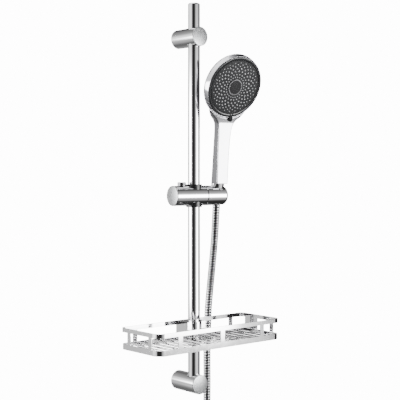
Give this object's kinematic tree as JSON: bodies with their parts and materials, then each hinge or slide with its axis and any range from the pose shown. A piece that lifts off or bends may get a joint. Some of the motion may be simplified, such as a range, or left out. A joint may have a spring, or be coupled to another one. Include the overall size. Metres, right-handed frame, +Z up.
{
  "type": "shower slide rail",
  "caption": "Wall rail on round brackets with a sliding, tilting hand shower holder, a round hand shower on a coiled metal hose, and a wire-floored basket clamped on the rail.",
  "frame": {"origin": "midway between the two wall fixings, on the wall plane", "axes": "+Z up along the rail; +Y from the room into the wall; +X to the right for someone facing the wall, towards the holder's open end; the rail's axis stands 45 mm in front of the wall"},
  "size_m": [0.29, 0.1283, 0.9214],
  "materials": {
    "chrome_tube": "polished chrome plating on a drawn tube",
    "chrome_fitting": "polished chrome plating on turned and cast metal",
    "chrome_wire": "polished chrome plating on bent strip and rod",
    "satin_cap": "fine satin, light grey",
    "handset_chrome": "bright chrome plating on moulded plastic",
    "face_dark": "dark grey, smooth",
    "nozzle_rubber": "soft mid grey silicone",
    "bush_plastic": "plain dark grey",
    "boss_metal": "plain cast metal",
    "screw_steel": "plain stainless steel",
    "ferrule_brass": "turned, plain",
    "washer_rubber": "black, matt",
    "hose_cover": "bright metal cover of interlocked turns",
    "tie_strap": "black, matt"
  },
  "bodies": {
    "wall_rail": {"rail_tube": "chrome_tube", "rail_top_cap": "chrome_fitting", "upper_bracket_body": "chrome_fitting", "upper_bracket_cap": "satin_cap", "upper_rail_bush": "bush_plastic", "upper_wall_boss": "boss_metal", "upper_grub_screw": "screw_steel", "lower_bracket_body": "chrome_fitting", "lower_bracket_cap": "satin_cap", "lower_rail_bush": "bush_plastic", "lower_wall_boss": "boss_metal", "lower_grub_screw": "screw_steel", "hose_drop_tube": "hose_cover", "hose_coil": "hose_cover", "hose_tie": "tie_strap", "hose_end_nut": "chrome_fitting"},
    "carriage": {"slider_bush": "bush_plastic", "hose_swivel_tube": "hose_cover"},
    "slider": {"slider_body": "chrome_fitting", "slider_end_cap": "satin_cap", "brake_spring": "screw_steel", "friction_washer": "washer_rubber", "pivot_bolt": "screw_steel", "hose_tilt_tube": "hose_cover"},
    "release": {"release_button": "chrome_fitting"},
    "brake": {"brake_shoe": "bush_plastic"},
    "holder": {"holder_socket": "chrome_fitting", "spring_washer": "screw_steel", "hose_cone_nut": "chrome_fitting", "hose_ferrule": "ferrule_brass", "inlet_washer": "washer_rubber", "handset_body": "handset_chrome", "face_plate": "face_dark", "face_hub": "face_dark", "hub_ring": "handset_chrome", "spray_nozzles": "nozzle_rubber", "hose_exit_tube": "hose_cover"},
    "selector": {"selector_ring": "face_dark"},
    "basket": {"basket_top_rim": "chrome_wire", "basket_base_rim": "chrome_wire", "basket_posts": "chrome_wire", "basket_floor_rods": "chrome_wire", "basket_clamp_body": "chrome_fitting", "basket_clamp_screw": "screw_steel", "basket_clamp_pad": "bush_plastic"}
  },
  "joints": [
    {"name": "carriage_slide", "type": "slide", "parent": "wall_rail", "child": "carriage", "axis": [0, 0, 1], "range_m": [-0.15, 0.24], "deforming": ["hose_drop_tube", "hose_swivel_tube"]},
    {"name": "slider_swivel", "type": "hinge", "parent": "carriage", "child": "slider", "pos_m": [0, -0.045, 0.0266], "axis": [0, 0, 1], "range_deg": [-30, 20], "deforming": ["hose_swivel_tube"]},
    {"name": "holder_tilt", "type": "hinge", "parent": "slider", "child": "holder", "pos_m": [0, -0.045, 0.0266], "axis": [0.9954, -0.0958, 0], "range_deg": [-2, 32], "deforming": ["hose_tilt_tube"]},
    {"name": "button_press", "type": "slide", "parent": "slider", "child": "release", "axis": [0, 0, -1], "range_m": [0, 0.003], "stiffness_N_per_m": 700, "springref_m": -0.004},
    {"name": "brake_release", "type": "slide", "parent": "slider", "child": "brake", "axis": [-0.9954, 0.0958, 0], "range_m": [0, 0.0022], "deforming": ["brake_spring"]},
    {"name": "selector_turn", "type": "hinge", "parent": "holder", "child": "selector", "pos_m": [0.0463, -0.10457, 0.22276], "axis": [-0.0887, -0.921, -0.3795], "range_deg": [-25, 25]},
    {"name": "basket_slide", "type": "slide", "parent": "wall_rail", "child": "basket", "axis": [0, 0, 1], "range_m": [-0.05, 0.025]}
  ],
  "couplings": [
    {"joint": "brake_release", "follows": "button_press", "ratio": 0.7}
  ]
}
